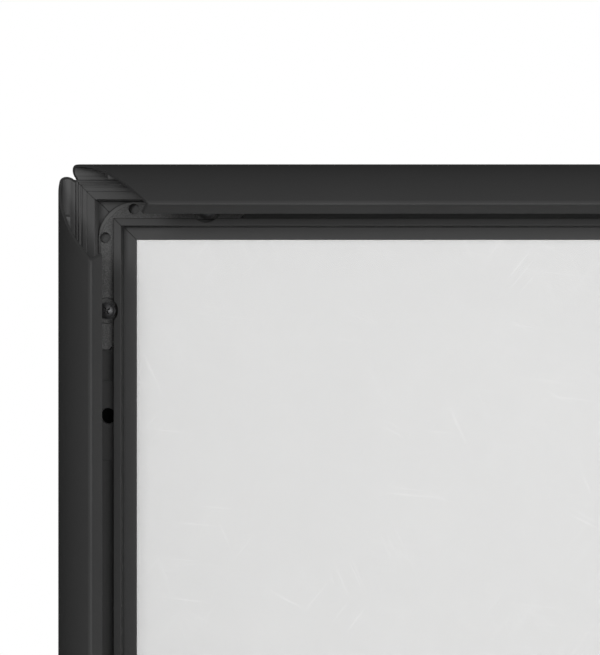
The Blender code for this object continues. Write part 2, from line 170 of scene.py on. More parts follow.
def add_soft_lamp(name, place, size, watts):
    """A square area lamp that looks at the corner."""
    lamp_data = bpy.data.lights.new(name, "AREA")
    lamp_data.shape = "SQUARE"
    lamp_data.size = size
    lamp_data.energy = watts
    lamp = add_object(name, lamp_data)
    lamp.location = place
    lamp.rotation_euler = (Vector(corner_place) - Vector(place)).to_track_quat("-Z", "Y").to_euler()
    return lamp


# A lamp is written as its name, its place, the length of its side and its power in watts.
lamp_facts = (
    ("key_lamp", (-0.54, -2.0, 0.45), 0.7, 14.5),
    ("front_lamp", (0.40, -2.0, 0.22), 0.6, 9.5),
    ("right_lamp", (1.10, -2.0, 0.36), 0.9, 21),
    ("back_lamp", (0.40, 2.0, 0.90), 0.9, 26),
)
lamps = [add_soft_lamp(*facts) for facts in lamp_facts]
print("lamps:", [lamp.name for lamp in lamps])

# %% [markdown]
# ## Floor
#
# A round pale floor carries the frame and takes its shadow. The lamps stand low, so they graze the floor
# and would leave it grey. More light from above would spoil the frame's strips. Instead the floor has a
# little glow of its own that only the camera sees, which makes it pale and keeps the shadow on it.


# %% Helpers for meshes
def finished_mesh(name, body):
    """A mesh from a body that is done with."""
    mesh = bpy.data.meshes.new(name)
    body.to_mesh(mesh)
    body.free()
    return mesh


def round_face(name, radius, edge_count):
    """A mesh of one round face that lies level."""
    body = bmesh.new()
    bmesh.ops.create_circle(body, cap_ends=True, radius=radius, segments=edge_count)
    return finished_mesh(name, body)


# %% Floor
# A box is written as its lowest and its highest corner, and a corner as its X, Y and Z.
lowest, highest = 0, 1
x_axis, y_axis, z_axis = 0, 1, 2
floor_radius = 1.0
floor_edge_count = 128
floor_gap = 0.002

floor_mesh = round_face("studio_floor", floor_radius, floor_edge_count)
floor = add_object("studio_floor", floor_mesh)
floor.location.z = cad_box[lowest][z_axis] - floor_gap
print("floor at z =", round(floor.location.z, 4))

# %% Floor paint
floor_colour = (0.84, 0.84, 0.83, 1)
floor_roughness = 0.8
floor_glow = 0.45

floor_paint = bpy.data.materials.new("floor_paint")
floor_paint.use_nodes = True
floor_tree = floor_paint.node_tree
floor_shader = floor_tree.nodes["Principled BSDF"]
floor_shader.inputs["Base Color"].default_value = floor_colour
floor_shader.inputs["Emission Color"].default_value = floor_colour
floor_shader.inputs["Roughness"].default_value = floor_roughness
seen_directly = add_node(floor_tree, "ShaderNodeLightPath").outputs["Is Camera Ray"]
seen_glow = calculate(floor_tree, "MULTIPLY", seen_directly, floor_glow)
floor_tree.links.new(seen_glow, floor_shader.inputs["Emission Strength"])
floor_mesh.materials.append(floor_paint)
print("made", floor_paint.name)

# %% [markdown]
# ## Finishes
#
# Every finish starts from the same three things: a base colour that wanders a little from place to place,
# a roughness that wanders too, and a bump that gives the surface its grain. Pictures of real surfaces
# could give all three, but each would need its own fit to each piece. Noise in the object's own
# coordinates needs none, and the grain keeps its real size on every piece.


# %% Start of a finish
def new_finish(name):
    """An empty material with its shader, its output and the object's own coordinates."""
    made = bpy.data.materials.new(name)
    made.use_nodes = True
    tree = made.node_tree
    tree.nodes.clear()
    shader = add_node(tree, "ShaderNodeBsdfPrincipled")
    add_node(tree, "ShaderNodeOutputMaterial", {"Surface": shader.outputs[0]})
    coordinates = add_node(tree, "ShaderNodeTexCoord").outputs["Object"]
    return made, tree, shader, coordinates


def facing(tree):
    """The way that the surface faces, in the object's own axes."""
    return add_node(tree, "ShaderNodeTexCoord").outputs["Normal"]


def part_along(tree, vector, axis):
    """How much of a vector lies along X, Y or Z."""
    return add_node(tree, "ShaderNodeSeparateXYZ", {0: vector}).outputs[axis]


# %% Patterns
def stretched(tree, coordinates, scale, turn=0.0):
    """The coordinates turned in the frame's plane, then multiplied by a number along each axis."""
    spin = add_node(tree, "ShaderNodeMapping", {"Vector": coordinates, "Rotation": (0, turn, 0)})
    return add_node(tree, "ShaderNodeMapping", {"Vector": spin.outputs[0], "Scale": scale}).outputs[0]


def noise(tree, vector, scale, detail, roughness):
    """Smooth noise. A pattern is written as its scale, its detail and its roughness."""
    facts = {"Vector": vector, "Scale": scale, "Detail": detail, "Roughness": roughness}
    return add_node(tree, "ShaderNodeTexNoise", facts).outputs["Fac"]


def spread(tree, value, low, high, from_low=0.0, from_high=1.0):
    """Maps a value from one range to another, and keeps it inside."""
    inputs = {"Value": value, "From Min": from_low, "From Max": from_high, "To Min": low, "To Max": high}
    return add_node(tree, "ShaderNodeMapRange", inputs).outputs["Result"]


def added(tree, first, second, first_share):
    """Two patterns in one: the first has its share of the sum, and the second the rest."""
    part = calculate(tree, "MULTIPLY", first, first_share)
    return calculate(tree, "MULTIPLY_ADD", second, 1 - first_share, part)


# %% Colours and bumps
# A Mix node has a set of sockets for every kind of data, so those for colours are reached by number.
mix_factor = 0
mix_first = 6
mix_second = 7
mix_result = 2


def grey(level):
    """A colour without a hue."""
    return (level, level, level, 1)


def tinted(tree, factor, first, second):
    """A colour between two others."""
    sockets = {mix_factor: factor, mix_first: first, mix_second: second}
    return add_node(tree, "ShaderNodeMix", sockets, data_type="RGBA").outputs[mix_result]


def bumped(tree, shader, height, distance):
    """Tilts the light on the surface as bumps of this height would."""
    bump = add_node(tree, "ShaderNodeBump", {"Height": height, "Distance": distance})
    tree.links.new(bump.outputs["Normal"], shader.inputs["Normal"])


def driven(tree, shader, colour, roughness):
    """Links the shader's colour and roughness to what the nodes work out."""
    tree.links.new(colour, shader.inputs["Base Color"])
    tree.links.new(roughness, shader.inputs["Roughness"])


# %% [markdown]
# ### Satin black on extruded aluminium
#
# The rails and covers are pushed through a die, which leaves faint lines along their length, and the black
# coat over them has a fine, slightly pebbled skin. The lines come from noise that is stretched along the
# piece, so there is one version of the finish for upright pieces and one for level ones.
#
# The coat is satin: across a curve it fades from light to dark without a clear mirror image. A glossy
# layer on dark paint would give each curve a pale edge, so that layer is off, and a small metallic share
# with a grey edge tint gives the fade. Light is painted into the coat in some places: inside the covers
# and on the walls of grooves a lighter tone stands in for light in their shade, and along the nose of an
# open cover a painted highlight runs. Such places could be painted by hand, but a node can find them from
# where a surface lies and the way it faces.

# %% Where light is painted into the coat
nose_depth = 0.0489
nose_blur = 0.0003
nose_highlight_range = (0.6, 1.0)
usual_noise_range = (0.3, 0.7)
inside_blur = 0.001


def painted_nose_highlight(tree, coordinates, cloud):
    """One along the nose of an open cover, where a highlight is painted, and zero elsewhere."""
    depth = part_along(tree, coordinates, "Y")
    on_nose = spread(tree, depth, 1.0, 0.0, -nose_depth - nose_blur, -nose_depth + nose_blur)
    return calculate(tree, "MULTIPLY", on_nose, spread(tree, cloud, *nose_highlight_range, *usual_noise_range))


def inside_share(tree, coordinates, middle):
    """One on the faces that look towards the middle of a curved section, where light is painted in, and
    zero on its outside.
    """
    out = add_node(tree, "ShaderNodeVectorMath", {0: coordinates, 1: middle}, operation="SUBTRACT")
    sides = {0: out.outputs[0], 1: facing(tree)}
    looks_out = add_node(tree, "ShaderNodeVectorMath", sides, operation="DOT_PRODUCT").outputs["Value"]
    return spread(tree, looks_out, 1.0, 0.0, -inside_blur, inside_blur)


def sideways_share(tree, coordinates):
    """One on the walls of the grooves, where light is painted in, and zero on what faces the front."""
    forward = part_along(tree, facing(tree), "Y")
    return calculate(tree, "SUBTRACT", 1.0, calculate(tree, "ABSOLUTE", forward))


# %% Coated extrusion
across_lines = 900
along_lines = 1.5
line_pattern = (1.0, 3.0, 0.6)
cloud_pattern = (18.0, 3.0, 0.55)
pebble_pattern = (2600.0, 1.0, 0.5)
line_share = 0.35
line_relief = 0.6
skin_depth = 0.000012
roughness_swing = 0.05
nose_highlight_gain = 0.35
dark_edge = grey(0.40)


def coated_extrusion(name, coat, level, painted_light_mask, *facts):
    """The satin coat, with its lines along X on a level piece or along Z on an upright one."""
    made, tree, shader, coordinates = new_finish(name)
    line_scale = [across_lines, across_lines, across_lines]
    line_scale[x_axis if level else z_axis] = along_lines
    lines = noise(tree, stretched(tree, coordinates, line_scale), *line_pattern)
    cloud = noise(tree, coordinates, *cloud_pattern)
    pebble = noise(tree, coordinates, *pebble_pattern)
    base_coat = tinted(tree, added(tree, lines, cloud, line_share), coat["dark"], coat["light"])
    # Painted light: the coat is lighter where the mask is high, inside the covers and on groove walls, for
    # the shade there.
    painted_light_share = painted_light_mask(tree, coordinates, *facts)
    lift = calculate(tree, "MULTIPLY_ADD", painted_light_share, coat["painted_light_gain"], 1.0)
    # Painted highlight: a lighter line along the nose of an open cover.
    lift = calculate(tree, "MULTIPLY_ADD", painted_nose_highlight(tree, coordinates, cloud), nose_highlight_gain, lift)
    colour = add_node(tree, "ShaderNodeVectorMath", {0: base_coat, "Scale": lift}, operation="SCALE")
    roughness_range = (coat["roughness"] - roughness_swing, coat["roughness"] + roughness_swing)
    roughness = spread(tree, cloud, *roughness_range, *usual_noise_range)
    driven(tree, shader, colour.outputs["Vector"], roughness)
    shader.inputs["Metallic"].default_value = coat["metal"]
    shader.inputs["Specular IOR Level"].default_value = 0.0
    shader.inputs["Specular Tint"].default_value = dark_edge
    bumped(tree, shader, calculate(tree, "MULTIPLY_ADD", lines, line_relief, pebble), skin_depth)
    return made


# %% Coats of the covers
middle_inset = 0.036
middle_height = 0.020
cover_coat = {
    "dark": grey(0.045),
    "light": grey(0.052),
    "roughness": 0.50,
    "metal": 0.05,
    "painted_light_gain": 0.85,
}


def finish_of_cover(side, across, end):
    """The coat of one cover. Its section curves round a middle that lies inwards of its outer end."""
    middle = Vector((0, -middle_height, 0))
    middle[across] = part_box(f"cover_{side}")[end][across]
    middle[across] += middle_inset if end == lowest else -middle_inset
    return coated_extrusion(f"cover_coat_{side}", cover_coat, across == z_axis, inside_share, middle)


cover_finish = {
    "left": finish_of_cover("left", x_axis, lowest),
    "right": finish_of_cover("right", x_axis, highest),
    "bottom": finish_of_cover("bottom", z_axis, lowest),
    "top": finish_of_cover("top", z_axis, highest),
}
print("made", [finish.name for finish in cover_finish.values()])

# %% Coats of the rails
flat_coat = {
    "dark": grey(0.050),
    "light": grey(0.059),
    "roughness": 0.42,
    "metal": 0.10,
    "painted_light_gain": 0.1,
}
# Painted light: the ridged part's tones are lighter than the flat part's, and its groove walls much
# lighter, for the shade beside the open covers.
painted_lit_ridge_coat = {
    "dark": grey(0.061),
    "light": grey(0.071),
    "roughness": 0.42,
    "metal": 0.10,
    "painted_light_gain": 1.2,
}

rail_finish = {}
painted_lit_ridge_finish = {}
for level, lie in ((False, "upright"), (True, "level")):
    rail_finish[level] = coated_extrusion(f"rail_coat_{lie}", flat_coat, level, sideways_share)
    painted_lit_ridge_finish[level] = coated_extrusion(f"painted_lit_ridge_coat_{lie}", painted_lit_ridge_coat, level, sideways_share)
print("made", len(rail_finish) + len(painted_lit_ridge_finish), "coats for the rails")

# %% [markdown]
# ### Rough casting
#
# The corner plates are cast, so their skin is grainy at about the size of sand. Real grains could be
# modelled, but they are far too many. Two sizes of noise show them: a coarse one for the lumps and a fine
# one for the grain on them. The slant round a plate's corner is smooth, and its lighter tone is a painted
# highlight; a thin line of painted shade runs along its foot. The slant is found from the way it faces, and
# the painted shade also from its depth.

# %% Where a plate slants
not_wall_range = (0.45, 0.60)
not_front_range = (0.88, 0.96)
plate_chamfer = 0.0018
foot_line = 0.00050
slant_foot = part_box("corner_plate_top_left")[lowest][y_axis] + plate_chamfer


def slanted_share(tree):
    """One on slanted faces, and zero on what faces the front and on the walls."""
    forward = calculate(tree, "MULTIPLY", part_along(tree, facing(tree), "Y"), -1.0)
    not_wall = spread(tree, forward, 0.0, 1.0, *not_wall_range)
    not_front = spread(tree, forward, 1.0, 0.0, *not_front_range)
    return calculate(tree, "MULTIPLY", not_wall, not_front)


def foot_share(tree, coordinates):
    """One along the foot of the slant, and zero further forward."""
    depth = part_along(tree, coordinates, "Y")
    return spread(tree, depth, 0.0, 1.0, slant_foot - foot_line, slant_foot - foot_line / 2)


# %% Casting
lump_pattern = (900.0, 3.0, 0.6)
grain_pattern = (2000.0, 2.0, 0.7)
stain_pattern = (90.0, 2.0, 0.5)
speck_range = (0.40, 0.62)
speck_share = 0.7
cast_dark = grey(0.050)
cast_light = (0.124, 0.124, 0.123, 1)
# The slant's lighter tone is a painted highlight, and the foot's dark tone is painted shade.
painted_lit_slant_tone = (0.138, 0.138, 0.137, 1)
painted_foot_shade = grey(0.034)
cast_roughness_range = (0.50, 0.72)
cast_gloss = 0.20
cast_depth = 0.00030


def rough_casting(name):
    """Grainy on the cast faces, smooth with a painted highlight on the slanted ones, and painted shade
    along the foot of the slant.
    """
    made, tree, shader, coordinates = new_finish(name)
    slanted = slanted_share(tree)
    lumps = noise(tree, coordinates, *lump_pattern)
    grain = noise(tree, coordinates, *grain_pattern)
    stain = noise(tree, coordinates, *stain_pattern)
    speck = spread(tree, grain, 0.0, 1.0, *speck_range)
    grainy = tinted(tree, added(tree, speck, stain, speck_share), cast_dark, cast_light)
    # The smooth slant takes its painted highlight, and the foot of the slant its painted shade.
    smooth_painted_lit = tinted(tree, slanted, grainy, painted_lit_slant_tone)
    in_painted_foot_shade = calculate(tree, "MULTIPLY", foot_share(tree, coordinates), slanted)
    colour = tinted(tree, in_painted_foot_shade, smooth_painted_lit, painted_foot_shade)
    driven(tree, shader, colour, spread(tree, lumps, *cast_roughness_range))
    shader.inputs["Specular IOR Level"].default_value = cast_gloss
    flatness = calculate(tree, "SUBTRACT", 1.0, slanted)
    sand = calculate(tree, "ADD", lumps, grain)
    bumped(tree, shader, calculate(tree, "MULTIPLY", sand, flatness), cast_depth)
    return made


plate_finish = rough_casting("cast_plate_coat")
print("made", plate_finish.name)

# %% [markdown]
# ### Blackened steel
#
# The corner screws are blackened steel: a dark metal that still mirrors the lamps. They could have the
# rails' coat, but then their heads would look painted. Grime sits on them in patches, so one noise drives
# both colour and roughness: where it is high, the metal is lighter and rougher, as under a little dust.

# %% Screws
grime_pattern = (1500.0, 3.0, 0.65)
screw_dark = (0.03, 0.03, 0.031, 1)
screw_light = (0.11, 0.11, 0.112, 1)
screw_roughness_range = (0.36, 0.60)
screw_metal_share = 0.85
grime_depth = 0.00008


def blackened_steel(name):
    """Dark metal with patches of grime."""
    made, tree, shader, coordinates = new_finish(name)
    grime = noise(tree, coordinates, *grime_pattern)
    roughness = spread(tree, grime, *screw_roughness_range, *usual_noise_range)
    driven(tree, shader, tinted(tree, grime, screw_dark, screw_light), roughness)
    shader.inputs["Metallic"].default_value = screw_metal_share
    bumped(tree, shader, grime, grime_depth)
    return made


screw_finish = blackened_steel("blackened_steel")
print("made", screw_finish.name)

# %% [markdown]
# ### Rolled steel
#
# The snap springs inside the covers are plain steel strip, with faint lines from rolling. Even noise would
# make them look cast. The lines are long one way only, so the noise is squeezed along the two other axes,
# and a second noise adds the stains that bare steel gets.

# %% Springs
rolling_stretch = (1.0, 12.0, 12.0)
rolling_pattern = (120.0, 3.0, 0.6)
spring_stain_pattern = (90.0, 3.0, 0.5)
spring_dark = (0.26, 0.26, 0.27, 1)
spring_light = (0.44, 0.44, 0.45, 1)
spring_roughness_range = (0.26, 0.42)
spring_metal_share = 1.0
rolling_depth = 0.00001


def rolled_steel(name):
    """Bright metal with lines along X."""
    made, tree, shader, coordinates = new_finish(name)
    lines = noise(tree, stretched(tree, coordinates, rolling_stretch), *rolling_pattern)
    stain = noise(tree, coordinates, *spring_stain_pattern)
    roughness = spread(tree, lines, *spring_roughness_range)
    driven(tree, shader, tinted(tree, stain, spring_dark, spring_light), roughness)
    shader.inputs["Metallic"].default_value = spring_metal_share
    bumped(tree, shader, lines, rolling_depth)
    return made


spring_finish = rolled_steel("rolled_spring_steel")
print("made", spring_finish.name)

# %% [markdown]
# ### Black plastic
#
# The thin pads round the wall holes are moulded from dull black plastic. They could share the rails' coat,
# but the plastic is darker. Its fine grain comes from the mould, so a single noise does for the colour, the
# roughness and the bump.

# %% Pads
mould_pattern = (1800.0, 2.0, 0.5)
pad_dark = grey(0.018)
pad_light = grey(0.028)
pad_roughness_range = (0.5, 0.65)
mould_depth = 0.00002


def dull_plastic(name):
    """Plain black with an even grain."""
    made, tree, shader, coordinates = new_finish(name)
    grain = noise(tree, coordinates, *mould_pattern)
    roughness = spread(tree, grain, *pad_roughness_range)
    driven(tree, shader, tinted(tree, grain, pad_dark, pad_light), roughness)
    bumped(tree, shader, grain, mould_depth)
    return made


pad_finish = dull_plastic("dull_black_pad")
print("made", pad_finish.name)

# %% [markdown]
# ### White board
#
# The back panel is a matt white board. On the real frame the clear sheet over it has fine rub marks from
# wiping, which show as thin pale strokes against the white. Painted on the sheet they would hardly be
# seen, because a see-through surface shows little of its own colour. So they are painted on the front of
# the board, right behind the sheet. Each family of marks runs one way: it is noise that is stretched
# along that way, of which only the peaks stay.

# %% Rub marks
# A family is written as its turn in degrees, its scale across and along the marks, and how rare they are.
mark_families = (
    (24, 1000.0, 22.0, 0.655),
    (-38, 950.0, 20.0, 0.660),
    (62, 1000.0, 26.0, 0.660),
    (84, 900.0, 17.0, 0.665),
)
mark_pattern = (1.0, 1.0, 0.5)
mark_blur = 0.05
wiped_pattern = (20.0, 2.0, 0.5)
wiped_noise_range = (0.4, 0.65)
wiped_range = (0.35, 1.0)
front_blur = 0.1


def marks_of(tree, coordinates, degrees, across, along, rarity):
    """Short narrow marks that all run one way."""
    turn = math.radians(degrees)
    streaks = noise(tree, stretched(tree, coordinates, (across, 1.0, along), turn), *mark_pattern)
    return spread(tree, streaks, 0.0, 1.0, rarity, rarity + mark_blur)


def rub_marks(tree, coordinates):
    """All families together, stronger in wiped patches, and only on the face that looks forward."""
    marks = 0.0
    for family in mark_families:
        marks = calculate(tree, "MAXIMUM", marks, marks_of(tree, coordinates, *family))
    wiped = spread(tree, noise(tree, coordinates, *wiped_pattern), *wiped_range, *wiped_noise_range)
    on_front = spread(tree, part_along(tree, facing(tree), "Y"), 1.0, 0.0, -front_blur, front_blur)
    return calculate(tree, "MULTIPLY", calculate(tree, "MULTIPLY", marks, wiped), on_front)


# %% Board
board_cloud_pattern = (5.0, 2.0, 0.5)
tooth_pattern = (900.0, 2.0, 0.5)
board_cloud_share = 0.8
board_dark = (0.81, 0.81, 0.808, 1)
board_light = (0.84, 0.84, 0.838, 1)
mark_tone = (0.905, 0.905, 0.903, 1)
board_roughness_range = (0.5, 0.62)
board_gloss = 0.10
tooth_depth = 0.000004


def matt_board(name):
    """A white board that is even but for fine, faint rub marks in several directions."""
    made, tree, shader, coordinates = new_finish(name)
    cloud = noise(tree, coordinates, *board_cloud_pattern)
    tooth = noise(tree, coordinates, *tooth_pattern)
    board = tinted(tree, added(tree, cloud, tooth, board_cloud_share), board_dark, board_light)
    colour = tinted(tree, rub_marks(tree, coordinates), board, mark_tone)
    driven(tree, shader, colour, spread(tree, tooth, *board_roughness_range))
    shader.inputs["Specular IOR Level"].default_value = board_gloss
    bumped(tree, shader, tooth, tooth_depth)
    return made


panel_finish = matt_board("matt_white_board")
print("made", panel_finish.name)

# %% [markdown]
# ### Clear sheet
#
# The clear sheet lets nearly all light through and adds a weak, soft reflection. It could be made with a
# refracting shader, but the board under it would then need light that has bent through it, which takes
# long to render. A mostly see-through surface shows the same thing.

# %% Sheet
haze_pattern = (25.0, 3.0, 0.5)
film_dark = (0.70, 0.70, 0.698, 1)
film_light = (0.78, 0.78, 0.778, 1)
film_roughness_range = (0.38, 0.50)
film_share = 0.12
film_gloss = 0.3
haze_depth = 0.00002


def clear_film(name):
    """Mostly see-through, with a faint uneven haze."""
    made, tree, shader, coordinates = new_finish(name)
    made.surface_render_method = "BLENDED"
    haze = noise(tree, coordinates, *haze_pattern)
    roughness = spread(tree, haze, *film_roughness_range)
    driven(tree, shader, tinted(tree, haze, film_dark, film_light), roughness)
    shader.inputs["Alpha"].default_value = film_share
    shader.inputs["Specular IOR Level"].default_value = film_gloss
    bumped(tree, shader, haze, haze_depth)
    return made


film_finish = clear_film("clear_cover_film")
print("made", film_finish.name)

# %% [markdown]
# ## Dressing the CAD parts
#
# A CAD edge is perfectly sharp, and a real one never is: the narrow rounded strip along it catches the
# light. The edges could be rounded in the solids, but each strip is only a tenth of a millimetre wide. So
# modifiers do it here: they join the triangles of each flat face, round each sharp edge very slightly, and
# let the large faces decide the shading along the strips, so that flat faces look flat. The white board
# and the clear sheet are cut from flat stock, and their edges stay as they are.

# %% Rounded edges
joined_angle = math.radians(0.5)
edge_angle = math.radians(30)
edge_round = 0.00012
round_segments = 2
weld_distance = 0.000002


def soften(piece, width=edge_round):
    """Joins flat faces, rounds sharp edges and shades the rest smoothly."""
    piece.data.shade_smooth()
    piece.data.set_sharp_from_angle(angle=edge_angle)
    weld = piece.modifiers.new("weld", "WELD")
    weld.merge_threshold = weld_distance
    join = piece.modifiers.new("join_flat_faces", "DECIMATE")
    join.decimate_type = "DISSOLVE"
    join.angle_limit = joined_angle
    join.delimit = {"MATERIAL"}
    rounding = piece.modifiers.new("round_edges", "BEVEL")
    rounding.width = width
    rounding.segments = round_segments
    rounding.limit_method = "ANGLE"
    rounding.angle_limit = edge_angle
    rounding.use_clamp_overlap = False
    shading = piece.modifiers.new("even_shading", "WEIGHTED_NORMAL")
    shading.mode = "FACE_AREA"


# %% A finish for each piece
sheets = ("back_panel", "clear_sheet")
level_rails = ("base_rail_top", "base_rail_bottom")
plain_finishes = {
    "corner_plate_": plate_finish,
    "corner_screw_": screw_finish,
    "snap_spring_": spring_finish,
    "fixing_pad_": pad_finish,
    "back_panel": panel_finish,
    "clear_sheet": film_finish,
}


def finish_for(name):
    """The finish that a node's name asks for."""
    if name.startswith("cover_"):
        return cover_finish[name.removeprefix("cover_")]
    if name.startswith("base_rail_"):
        return rail_finish[name in level_rails]
    return next(finish for start, finish in plain_finishes.items() if name.startswith(start))


def dress(piece, finish):
    """Gives a piece one finish."""
    if not piece.data.materials:
        piece.data.materials.append(finish)
    for index in range(len(piece.data.materials)):
        piece.data.materials[index] = finish


for name, node in nodes.items():
    dress(node, finish_for(name))
    if name not in sheets:
        soften(node)
print("dressed", len(nodes), "CAD nodes")

# %% [markdown]
# ## Rails that meet at the mitre
#
# On the real frame two rails are pressed together at each corner, and the joint shows as a thin dark line.
# The solids keep a slit there, and a white wall would shine through it. A dark line could be painted by a
# mask, but it would have to know the corner's slant. Here the end face of each rail is drawn out until it
# touches its neighbour, and only the narrow strip that this adds gets a dark finish. The thin edge of the
# ledge that stands against the white board gets it too, as painted shade where the two meet.
#
# A rail has two coats. Its ridged outer part, next to the hinge, is painted lighter than the flat part
# inside, as painted light in the shade beside the open covers.

# %% Dark joints
dirt_pattern = (700.0, 2.0, 0.5)
joint_dark = grey(0.006)
joint_light = grey(0.016)
joint_roughness_range = (0.6, 0.8)
joint_gloss = 0.1


def joint_shade(name):
    """The dark strip where two rails meet: dirt and shade, a little uneven."""
    made, tree, shader, coordinates = new_finish(name)
    dirt = noise(tree, coordinates, *dirt_pattern)
    roughness = spread(tree, dirt, *joint_roughness_range)
    driven(tree, shader, tinted(tree, dirt, joint_dark, joint_light), roughness)
    shader.inputs["Specular IOR Level"].default_value = joint_gloss
    return made


joint_finish = joint_shade("joint_shade")
print("made", joint_finish.name)

# %% Drawing out the end faces
half_width = -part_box("base_rail_left")[lowest][x_axis]
half_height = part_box("base_rail_top")[highest][z_axis]
on_plane = 0.00001
end_slant = 0.5
to_millimetres = 1000


def mitre_distance(place):
    """How far a point is from the mitre's plane, measured along a rail."""
    return abs((half_width - abs(place.x)) - (half_height - abs(place.z)))


def lies_at(face, distance):
    """Whether a whole face lies at this distance from the mitre's plane."""
    return all(abs(mitre_distance(vertex.co) - distance) < on_plane for vertex in face.verts)


def draw_out_ends(body, along):
    """Moves copies of both end faces to the mitre's plane, and returns the points that moved."""
    slit = min(mitre_distance(vertex.co) for vertex in body.verts)
    slanted_faces = [face for face in body.faces if abs(face.normal[along]) > end_slant]
    ends = [face for face in slanted_faces if lies_at(face, slit)]
    drawn = bmesh.ops.extrude_face_region(body, geom=ends)["geom"]
    moved = {item for item in drawn if isinstance(item, bmesh.types.BMVert)}
    for vertex in moved:
        vertex.co[along] += math.copysign(slit, vertex.co[along])
    bmesh.ops.delete(body, geom=ends, context="FACES")
    bmesh.ops.recalc_face_normals(body, faces=body.faces)
    print("slit", round(slit * to_millimetres, 3), "mm, end faces", len(ends))
    return moved


# %% Zones of a rail
# The zones are numbered in the order of a closed rail's three materials.
flat_zone, dark_zone, ridge_zone = 0, 1, 2
ridge_reach = 0.0190
ledge_reach = 0.0295
sideways = 0.9


def rail_zone(face, moved, across, outer_edge):
    """Which of a rail's three finishes a face takes."""
    reach = [vertex in moved for vertex in face.verts]
    inset = outer_edge - abs(face.calc_center_median()[across])
    if any(reach) and not all(reach):
        return dark_zone
    # The ledge's inner edge, against the white board, takes the dark finish as painted shade.
    if inset > ledge_reach and abs(face.normal[across]) > sideways:
        return dark_zone
    return ridge_zone if inset < ridge_reach else flat_zone


# %% Close the mitres
def welded_copy(name):
    """A body with the shape of a CAD node, whose faces share their points."""
    body = bmesh.new()
    body.from_mesh(nodes[name].data)
    bmesh.ops.remove_doubles(body, verts=body.verts, dist=weld_distance)
    return body


def closed_rail(name, level):
    """A copy of a rail whose two end faces reach the mitre's plane."""
    along, across = (x_axis, z_axis) if level else (z_axis, x_axis)
    outer_edge = half_height if level else half_width
    body = welded_copy(name)
    body.normal_update()
    moved = draw_out_ends(body, along)
    for face in body.faces:
        face.material_index = rail_zone(face, moved, across, outer_edge)
    open_edges = sum(not edge.is_manifold for edge in body.edges)
    mesh = finished_mesh(f"closed_{name}", body)
    for finish in (rail_finish[level], joint_finish, painted_lit_ridge_finish[level]):
        mesh.materials.append(finish)
    piece = add_object(f"closed_{name}", mesh)
    soften(piece)
    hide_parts(name)
    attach(piece, "base")
    print(piece.name, "open edges", open_edges)


for side in ("left", "right"):
    closed_rail(f"base_rail_{side}", False)
for side in ("top", "bottom"):
    closed_rail(f"base_rail_{side}", True)


# %% [markdown]
# ## Corner plates with a wide slant
#
# The round corner of a cast plate is slanted so that the cover's end passes over it. The slant is wide in
# the middle of the turn and runs out towards the two legs. The solids have an even chamfer there. A wider
# one could be painted on, but paint on a flat face doesn't catch the light as a slant does. So the
# chamfer's inner edge is moved inwards in a copy of each plate, by most in the middle of the turn.

# %% Widening the slant
plate_turn_radius = 0.0185
slant_gain = 0.0011
rim_reach = 0.00005


def middle_of(low, high, axis):
    """Halfway between two corners along one axis."""
    return (low[axis] + high[axis]) / 2


def side_of(low, high, axis):
    """1 for a piece on the frame's right or upper half, and -1 for one on its left or lower half."""
    return math.copysign(1, middle_of(low, high, axis))


def turn_centre(low, high, outward):
    """The middle of the plate's round corner."""
    outer = [high[axis] if outward[axis] > 0 else low[axis] for axis in range(3)]
    return Vector(outer) - outward * plate_turn_radius


def widen_slant(body, front, outward, centre):
    """Moves the chamfer's inner edge inwards, by most in the middle of the turn."""
    moved = 0
    for vertex in body.verts:
        place = vertex.co - centre
        out_x = place.x * outward.x
        out_z = place.z * outward.z
        turn = math.atan2(out_z, out_x)
        off_rim = abs(math.hypot(out_x, out_z) - (plate_turn_radius - plate_chamfer))
        at_front = vertex.co.y - front < rim_reach
        if at_front and off_rim < rim_reach and 0 < turn < quarter_turn:
            gain = slant_gain * math.sin(2 * turn) ** 2
            vertex.co.x -= outward.x * gain * math.cos(turn)
            vertex.co.z -= outward.z * gain * math.sin(turn)
            moved += 1
    return moved


# %% Place the plates
def slanted_plate(name):
    """A copy of a corner plate whose chamfer widens towards the middle of the turn."""
    low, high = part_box(name)
    outward = Vector((side_of(low, high, x_axis), 0, side_of(low, high, z_axis)))
    body = welded_copy(name)
    bmesh.ops.dissolve_limit(body, angle_limit=joined_angle, verts=body.verts, edges=body.edges)
    moved = widen_slant(body, low[y_axis], outward, turn_centre(low, high, outward))
    open_edges = sum(not edge.is_manifold for edge in body.edges)
    mesh = finished_mesh(f"slanted_{name}", body)
    mesh.materials.append(plate_finish)
    piece = add_object(f"slanted_{name}", mesh)
    soften(piece)
    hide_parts(name)
    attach(piece, "base")
    print(piece.name, "points moved", moved, "open edges", open_edges)


for name in sorted(name for name in nodes if name.startswith("corner_plate_")):
    slanted_plate(name)


# %% [markdown]
# ## Corner screws
#
# The corner plates are held by pan-head screws with a cross recess. The solids have plain heads, because a
# recess is too fine for them. A bump could draw the cross, but it would look flat from the side, so the
# recess is real. A head is a profile turned round an axis, and a cross that narrows with depth is cut out
# of it, so that the recess's walls slope as a driver's tip does. Every screw stops at its own angle, as
# screws do.

# %% Screw sizes
screw_low, screw_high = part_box("corner_screw_top_left_left")
head_radius = (screw_high[x_axis] - screw_low[x_axis]) / 2
screw_length = screw_high[y_axis] - screw_low[y_axis]
head_height = 0.0027
head_rim = 0.0010
rim_round = 0.0004
shank_radius = 0.0022
turned_steps = 48
dome_steps = 8
round_steps = 4
print("screw head radius", round(head_radius * to_millimetres, 2), "mm")
print("screw length", round(screw_length * to_millimetres, 2), "mm")


